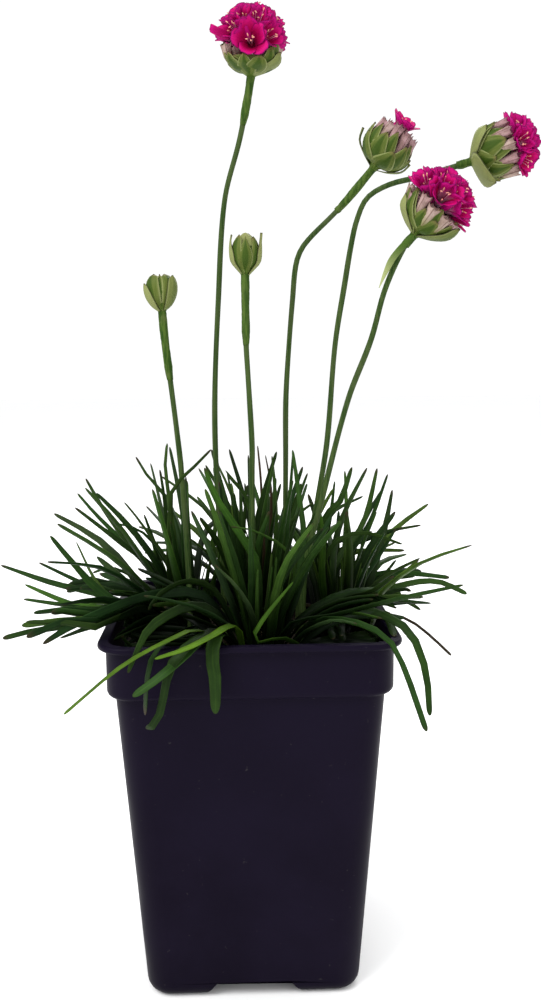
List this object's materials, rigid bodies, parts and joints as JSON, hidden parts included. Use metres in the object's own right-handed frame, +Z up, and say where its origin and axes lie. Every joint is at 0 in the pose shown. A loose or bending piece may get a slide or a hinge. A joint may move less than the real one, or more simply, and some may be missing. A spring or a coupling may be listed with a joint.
{
  "type": "potted sea thrift",
  "caption": "Clump of narrow grassy leaves with round magenta flower heads and closed buds on thin stems, in a deep square nursery pot.",
  "frame": {"origin": "centre of the plant's bounding box, on the surface the pot stands on, which is also the middle of the pot's foot", "axes": "+Z up along the pot's axis, front of the pot towards -Y, +X to the right as seen from the front"},
  "size_m": [0.1932, 0.144, 0.3467],
  "materials": {
    "pot_plastic": "satin moulded plastic, near black with a purple tint",
    "peat": "loose fibrous potting soil",
    "leaf_green": "smooth leaf",
    "leaf_deep_green": "smooth leaf",
    "leaf_lime": "smooth leaf",
    "scape_green": "smooth green stem",
    "bract_green": "leafy bract with papery edges",
    "calyx_pink": "papery, pleated",
    "petal_magenta": "soft petal"
  },
  "bodies": {
    "root": {"pot": "pot_plastic", "soil": "peat", "scape_1": "scape_green", "scape_2": "scape_green", "scape_3": "scape_green", "scape_4": "scape_green", "scape_bud_a": "scape_green", "scape_bud_b": "scape_green", "cup_1": "bract_green", "florets_1": "petal_magenta", "calyces_1": "calyx_pink", "cup_2": "bract_green", "florets_2": "petal_magenta", "calyces_2": "calyx_pink", "cup_3": "bract_green", "florets_3": "petal_magenta", "calyces_3": "calyx_pink", "cup_4": "bract_green", "florets_4": "petal_magenta", "calyces_4": "calyx_pink", "bud_a": "bract_green", "bud_b": "bract_green", "lime_leaf_long": "leaf_lime", "lime_leaf_blunt": "leaf_lime", "lime_leaf_bent": "leaf_lime", "tuft_left": "leaf_green", "tuft_right": "leaf_green", "tuft_front": "leaf_green", "tuft_centre": "leaf_deep_green", "tuft_back": "leaf_deep_green"}
  },
  "joints": []
}
